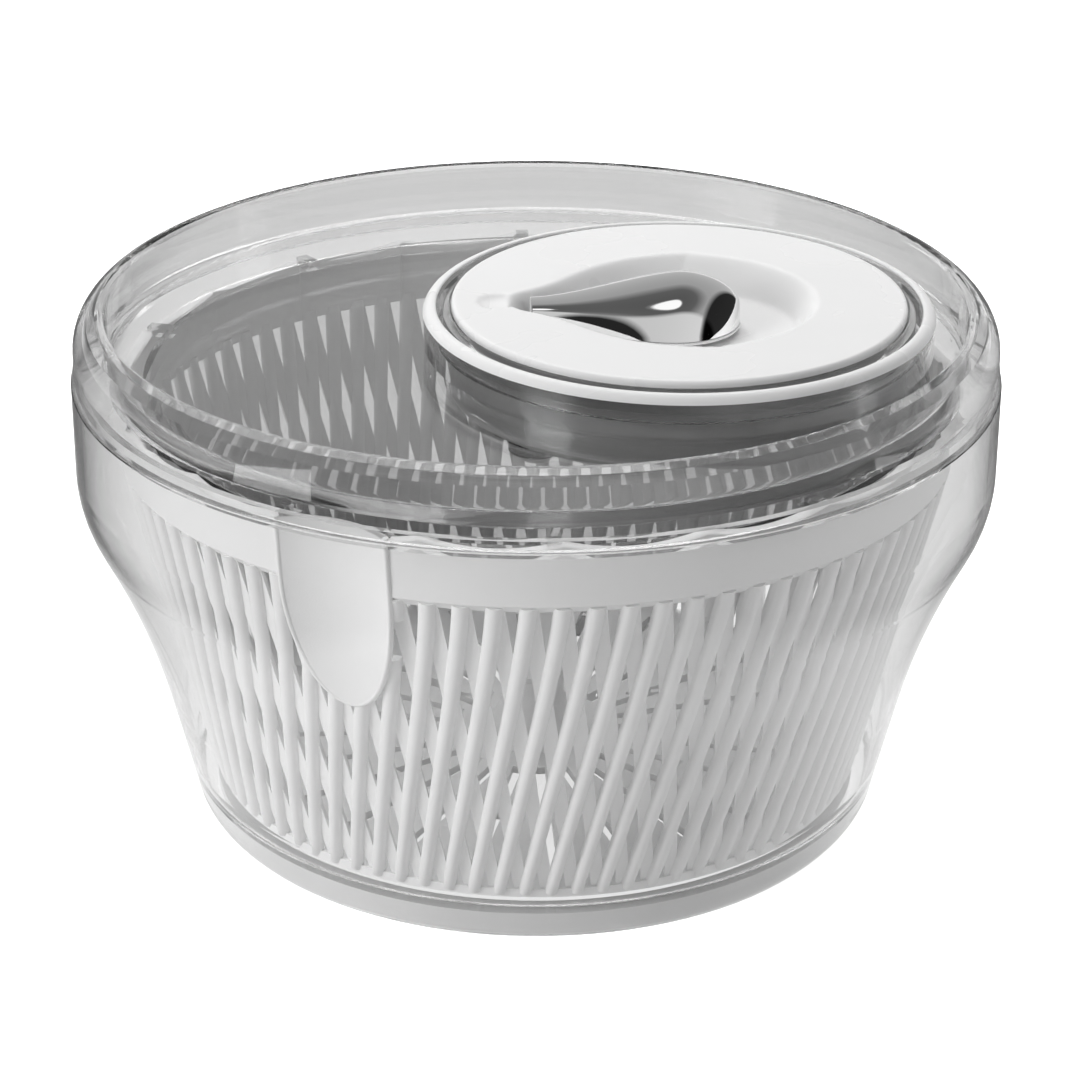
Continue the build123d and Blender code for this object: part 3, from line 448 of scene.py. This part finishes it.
# ---- Crank disc and knob ----
disc_low, disc_high = (tuple(value / MM for value in corner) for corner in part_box("crank_disc"))
knob_high = tuple(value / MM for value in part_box("knob_cap")[1])
pin_low, pin_high = (tuple(value / MM for value in corner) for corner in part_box("knob_pin"))
disc_radius = (disc_high[0] - disc_low[0]) / 2
disc_middle = (disc_low[0] + disc_high[0]) / 2
disc_top = disc_high[2]
hinge_x, hinge_height = (pin_low[0] + pin_high[0]) / 2, (pin_low[2] + pin_high[2]) / 2

dish_depth = 9.3
dish_radius, dish_out = 40.5, 3.0    # the dish's wide end, out from the crank's axis
dish_tip_radius, dish_tip_out = 10.3, -42.5
dish_neck_slope = math.radians(26)   # half angle at which the neck widens
dish_blend = 9.0                     # how softly the neck runs into the wide end
dish_wall = 0.6
dimple_out, dimple_radius, dimple_depth = -54.6, 6.4, 1.9
disc_plate = 2.4
disc_edge_round = 1.3
ear_top = hinge_height + 1.3
ear_half, ear_inside, ear_outside = 3.2, 6.3, 9.6

knob_half = 20.5                     # half the wide end's width
knob_middle = knob_high[0] - 19.4    # middle of the wide end
knob_edge = 152.6                    # lower edge of the bright shell
knob_base = 151.3                    # underside of the white base
knob_neck_half, knob_neck_top = 6.6, disc_top + 0.3
knob_end = hinge_x - 4.3
barrel_half, barrel_radius = 4.2, 3.6   # the knob's barrel on the hinge pin


def ease(value, low, high):
    share = min(max((value - low) / (high - low), 0.0), 1.0)
    return share * share * (3 - 2 * share)


def dish_inset(out, side):
    """How far a point lies inside the dish's outline: a round end with a neck that widens towards it."""
    wide = dish_radius - math.hypot(out - dish_out, side)
    tip = dish_tip_radius - math.hypot(out - dish_tip_out, side)
    slope = dish_neck_slope
    half = dish_tip_radius / math.cos(slope) + (out - dish_tip_out) * math.tan(slope)
    neck = min((half - abs(side)) * math.cos(slope), dish_out - out)
    if out < dish_tip_out - dish_tip_radius * math.sin(slope):
        neck = tip
    neck = max(neck, tip)
    return (wide + neck + math.sqrt((wide - neck) ** 2 + dish_blend ** 2)) / 2 - dish_blend / 4


def disc_surface(out, side):
    """Height of the disc's top under its level rim."""
    around = math.atan2(side, out - dish_out)
    slope_width = 7.0 + 3.4 * math.sin(around)
    drop = dish_depth * ease(dish_inset(out, side), -0.5, slope_width)
    share = math.hypot(out - dimple_out, side) / dimple_radius
    if share < 1:
        drop += dimple_depth * (1 - share ** 2) ** 0.6
    return -drop


def make_crank_disc():
    """The disc with its dish and dimple."""
    shell = Shell()
    columns, step_out = 360, 0.8
    flat = disc_radius - disc_edge_round
    rings = [step_out * ring for ring in range(1, int(flat / step_out))] + [flat]

    def ring_row(radius, height):
        row = []
        for column in range(columns):
            out, side, level = polar(radius, 2 * math.pi * column / columns, height)
            row.append((disc_middle + out, side, disc_top + level + disc_surface(out, side)))
        return row

    rows = [ring_row(0.01, 0.0)] + [ring_row(radius, 0.0) for radius in rings]
    for step in range(1, 7):
        turn = math.radians(15 * step)
        rows.append(ring_row(flat + disc_edge_round * math.sin(turn), disc_edge_round * (math.cos(turn) - 1)))
    rows.append(ring_row(disc_radius, -disc_plate))
    for radius in rings[::-4]:
        under = max(dish_wall, disc_plate * ease(-disc_surface(radius, 0.0), 6.0, 0.0))
        rows.append(ring_row(radius - 0.4, -under))
    rows.append(ring_row(0.01, -dish_wall))
    shell.grid(rows, closed=True)
    disc = shell.piece("crank_top", "gloss_white", 60.0)
    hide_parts("crank_disc")
    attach(disc, "crank")


def make_ears():
    """The two ears in the dish's narrow end that hold the knob's pin."""
    ear_foot = disc_top - dish_depth - 0.2
    shell = Shell()
    for side in (-1, 1):
        rows = []
        for across in (ear_inside, ear_outside):
            row = []
            for step in range(13):
                turn = math.pi * step / 12
                row.append((hinge_x + ear_half * math.cos(turn), side * across,
                            ear_top - ear_half + ear_half * math.sin(turn)))
            row.append((hinge_x - ear_half, side * across, ear_foot))
            row.append((hinge_x + ear_half, side * across, ear_foot))
            rows.append(row)
        shell.grid(rows if side > 0 else rows[::-1], closed=True, caps=True)
    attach(shell.piece("crank_ears", "gloss_white"), "crank")


def knob_section(out):
    """Half width, rise above the edge, cut and flatness of the knob's section at a distance along it."""
    spread = ease(out, hinge_x - 6.0, knob_middle)
    wide = knob_neck_half + (knob_half - knob_neck_half) * spread
    neck_rise = knob_neck_top - knob_edge
    rise = neck_rise + (knob_high[2] - knob_edge - neck_rise) * ease(out, hinge_x - 4.0, knob_middle + 8.0)
    cut = math.radians(25) * spread
    flat = 0.35 + 0.65 * ease(out, hinge_x + 2.0, knob_middle - 4.0)
    rounding = 1.0
    if out > knob_middle:
        rounding = math.sqrt(max(0.0, 1 - ((out - knob_middle) / knob_half) ** 2))
    elif out < knob_end + 1.2:
        rounding = math.sqrt(max(0.0, 1 - ((knob_end + 1.2 - out) / 1.2) ** 2))
    return wide * rounding, rise * (0.25 + 0.75 * rounding), cut, flat


def make_knob():
    """Bright spoon-shaped shell on a white base, with the barrel that the hinge pin runs in."""
    bright, base = Shell(), Shell()
    rows, base_rows = [], []
    far = knob_middle + knob_half
    for step in range(97):
        out = knob_end + (far - knob_end) * (1 - math.cos(math.pi * step / 96)) / 2
        wide, rise, cut, flat = knob_section(out)
        row = []
        for point in range(41):
            bend = cut + (math.pi - 2 * cut) * point / 40
            height = (math.sin(bend) ** flat - math.sin(cut) ** flat) / (1 - math.sin(cut) ** flat)
            row.append((out, wide * math.cos(bend) / math.cos(cut), knob_edge + rise * height))
        rows.append(row + [(out, -wide * 0.96, knob_edge - 0.1), (out, wide * 0.96, knob_edge - 0.1)])
        if out > hinge_x + 6.0:
            edge = wide + 0.7
            base_rows.append([(out, edge, knob_edge - 0.2), (out, -edge, knob_edge - 0.2),
                              (out, -edge, knob_edge - 0.8), (out, -edge + 0.8, knob_base),
                              (out, edge - 0.8, knob_base), (out, edge, knob_edge - 0.8)])
    bright.grid(rows, closed=True, caps=True)
    cap = bright.piece("knob_bright", "chrome", 50.0)
    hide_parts("knob_cap")
    base.grid(base_rows, closed=True, caps=True)
    barrel_rows = []
    for side in (-barrel_half, barrel_half):
        row = []
        for step in range(32):
            turn = math.pi * step / 16
            row.append((hinge_x + barrel_radius * math.cos(turn), side,
                        hinge_height + barrel_radius * math.sin(turn)))
        barrel_rows.append(row)
    base.grid(barrel_rows, closed=True, caps=True)
    under = base.piece("knob_base", "gloss_white")
    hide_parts("knob_body")
    for part in (cap, under):
        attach(part, "knob")


def make_well_ring():
    """Bright bead on the edge of the lid's raised ring, around the crank's well."""
    boss_top = disc_top - 1.7
    boss_edge, boss_round = 8.4, 3.2
    ring_section = [(4.6, -0.3), (4.8, 0.2)]
    for step in range(7):
        turn = math.radians(90 - 12 * step)
        ring_section.append((boss_edge - boss_round + (boss_round + 0.4) * math.cos(turn),
                             (boss_round + 0.4) * math.sin(turn) - boss_round))
    shell = Shell()
    rows = []
    for step in range(144):
        angle = 2 * math.pi * step / 144
        row = []
        for out, rise in ring_section:
            x, y, z = polar(disc_radius + out, angle, boss_top + rise)
            row.append((disc_middle + x, y, z))
        rows.append(row)
    shell.grid(rows, closed=True, ring=True)
    ring = shell.piece("crank_well_ring", "gloss_white", 50.0)
    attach(ring, "lid")


make_basket()
make_crank_disc()
make_ears()
make_knob()
make_well_ring()


# ---- Studio ----
def make_floor():
    """Pale floor with the object's soft shadow; gloss and clear plastic see it in tones of their own."""
    bpy.ops.mesh.primitive_plane_add(size=12.0, location=(0, 0, 0))
    floor = bpy.context.object
    floor.name = "floor"
    material, tree, add = new_material("white_sweep")
    path = add("LightPath").outputs
    split = add("SeparateXYZ", Vector=add("TexCoord").outputs["Object"]).outputs
    aside = maths(tree, "ABSOLUTE", split["X"])
    front = ramp(tree, maths(tree, "ADD", split["Y"], 0.6), [(0.20, 0.25), (0.50, 1.0)])
    mirrored = maths(tree, "MULTIPLY", front, ramp(tree, aside, [(0.14, 0.95), (0.22, 0.20), (1.0, 0.3)]))
    across = maths(tree, "ADD", split["X"], 1.0)
    clear = ramp(tree, maths(tree, "MULTIPLY", across, 0.5),
                 [(0.30, 0.40), (0.39, 0.42), (0.43, 0.97), (0.58, 0.97), (0.62, 0.92), (1.0, 0.85)])
    tone = add("MixRGB", Fac=path["Is Transmission Ray"], Color1=mirrored, Color2=clear).outputs[0]
    lit = add("BsdfPrincipled", Base_Color=grey(0.8), Roughness=0.7, Emission_Color=grey(1.0),
              Emission_Strength=maths(tree, "MULTIPLY", path["Is Camera Ray"], 0.80))
    glow = add("Emission", Color=grey(1.0), Strength=tone)
    surface = add("MixShader", Fac=path["Is Glossy Ray"])
    tree.links.new(lit.outputs[0], surface.inputs[1])
    tree.links.new(glow.outputs[0], surface.inputs[2])
    out = add("OutputMaterial")
    tree.links.new(surface.outputs[0], out.inputs["Surface"])
    floor.data.materials.append(material)


def pale_studio(tree, split, depth, side_tone, front_tone):
    """What clear plastic shows of the studio: pale, a little darker at the sides and in front."""
    sideways = maths(tree, "ABSOLUTE", split["X"])
    top = ramp(tree, split["Z"], [(0.42, 0.0), (0.62, 1.0)])
    sides = ramp(tree, sideways, [(0.45, 1.0), (0.75, side_tone), (1.0, side_tone)])
    front = ramp(tree, depth, [(0.12, front_tone), (0.40, 1.0)])
    return maths(tree, "MAXIMUM", maths(tree, "MULTIPLY", sides, front), top)


def mirrored_studio(tree, add, direction, split, depth):
    """What gloss and metal mirror: grey behind, dark bands and a light in front, a small lamp above."""
    behind = ramp(tree, split["Z"], [(0.0, 0.95), (0.12, 0.50), (0.80, 0.36), (0.92, 0.12), (1.0, 0.10)])
    rightward = maths(tree, "MULTIPLY_ADD", split["X"], 0.5, 0.5)
    right = ramp(tree, rightward, [(0.10, 0.30), (0.16, 0.02), (0.27, 0.02), (0.32, 0.62),
                                   (0.80, 0.72), (0.86, 0.03)])
    in_front = ramp(tree, depth, [(0.30, 1.0), (0.35, 0.0)])
    contrast = maths(tree, "ADD", maths(tree, "MULTIPLY", in_front, right),
                     maths(tree, "MULTIPLY", maths(tree, "SUBTRACT", 1.0, in_front), behind))
    contrast = maths(tree, "MULTIPLY", contrast, ramp(tree, rightward, [(0.80, 1.0), (0.85, 0.05)]))
    toward_lamp = add("VectorMath", {"operation": "DOT_PRODUCT"})
    tree.links.new(direction, toward_lamp.inputs[0])
    toward_lamp.inputs[1].default_value = Vector((-0.05, -0.08, 0.99)).normalized()
    lamp_spot = ramp(tree, toward_lamp.outputs["Value"], [(0.988, 0.0), (0.991, 1.0)])
    return maths(tree, "ADD", contrast, lamp_spot)


def make_world():
    """White to the camera; each kind of ray that meets the object sees a studio of its own."""
    world = bpy.data.worlds.new("studio")
    bpy.context.scene.world = world
    world.use_nodes = True
    tree = world.node_tree
    tree.nodes.clear()
    add = node_adder(tree)
    direction = add("TexCoord").outputs["Generated"]
    split = add("SeparateXYZ", Vector=direction).outputs
    depth = maths(tree, "MULTIPLY_ADD", split["Y"], 0.5, 0.5)
    path = add("LightPath").outputs
    camera, clear = path["Is Camera Ray"], path["Is Transmission Ray"]
    mirrored = maths(tree, "MULTIPLY", path["Is Glossy Ray"], maths(tree, "SUBTRACT", 1.0, clear))
    known = maths(tree, "MAXIMUM", camera, maths(tree, "MAXIMUM", mirrored, clear))
    other = maths(tree, "SUBTRACT", 1.0, known)
    strength = camera
    for share, light in ((mirrored, mirrored_studio(tree, add, direction, split, depth)),
                         (clear, pale_studio(tree, split, depth, 0.55, 0.7)), (other, 0.31)):
        strength = maths(tree, "ADD", strength, maths(tree, "MULTIPLY", share, light))
    back = add("Background", Color=grey(1.0), Strength=strength)
    out = add("OutputWorld")
    tree.links.new(back.outputs[0], out.inputs["Surface"])


def make_lamp(name, place, aim, size, power):
    data = bpy.data.lights.new(name, "AREA")
    data.shape = "RECTANGLE"
    data.size, data.size_y = size
    data.energy = power
    lamp = bpy.data.objects.new(name, data)
    lamp.location = place
    lamp.rotation_euler = (Vector(aim) - Vector(place)).to_track_quat("-Z", "Y").to_euler()
    lamp.visible_glossy = False
    bpy.context.scene.collection.objects.link(lamp)


def make_camera():
    middle = Vector((0.0, 0.0, 0.090))
    azimuth, elevation, roll = math.radians(-3.5), math.radians(24.0), math.radians(0.2)
    back = Vector((math.sin(azimuth) * math.cos(elevation), -math.cos(azimuth) * math.cos(elevation),
                   math.sin(elevation)))
    data = bpy.data.cameras.new("camera")
    data.sensor_width = 36.0
    data.lens = 107.87
    data.shift_x = 0.0039
    data.shift_y = -0.027
    camera = bpy.data.objects.new("camera", data)
    camera.location = middle + back
    camera.rotation_mode = "QUATERNION"
    turn = (-back).to_track_quat("-Z", "Y")
    turn.rotate(Quaternion(back, roll))
    camera.rotation_quaternion = turn
    bpy.context.scene.collection.objects.link(camera)
    bpy.context.scene.camera = camera


make_floor()
make_world()
make_lamp("overhead", (0.05, 0.9, 1.1), (0, 0, 0.1), (1.2, 0.8), 14.5)
make_lamp("left_panel", (-1.1, -0.5, 0.6), (0, 0, 0.1), (0.5, 1.0), 10.0)
make_lamp("right_panel", (1.25, -0.1, 0.5), (0, 0, 0.1), (0.25, 0.8), 2.5)
make_camera()
bpy.context.scene.view_settings.view_transform = "Standard"
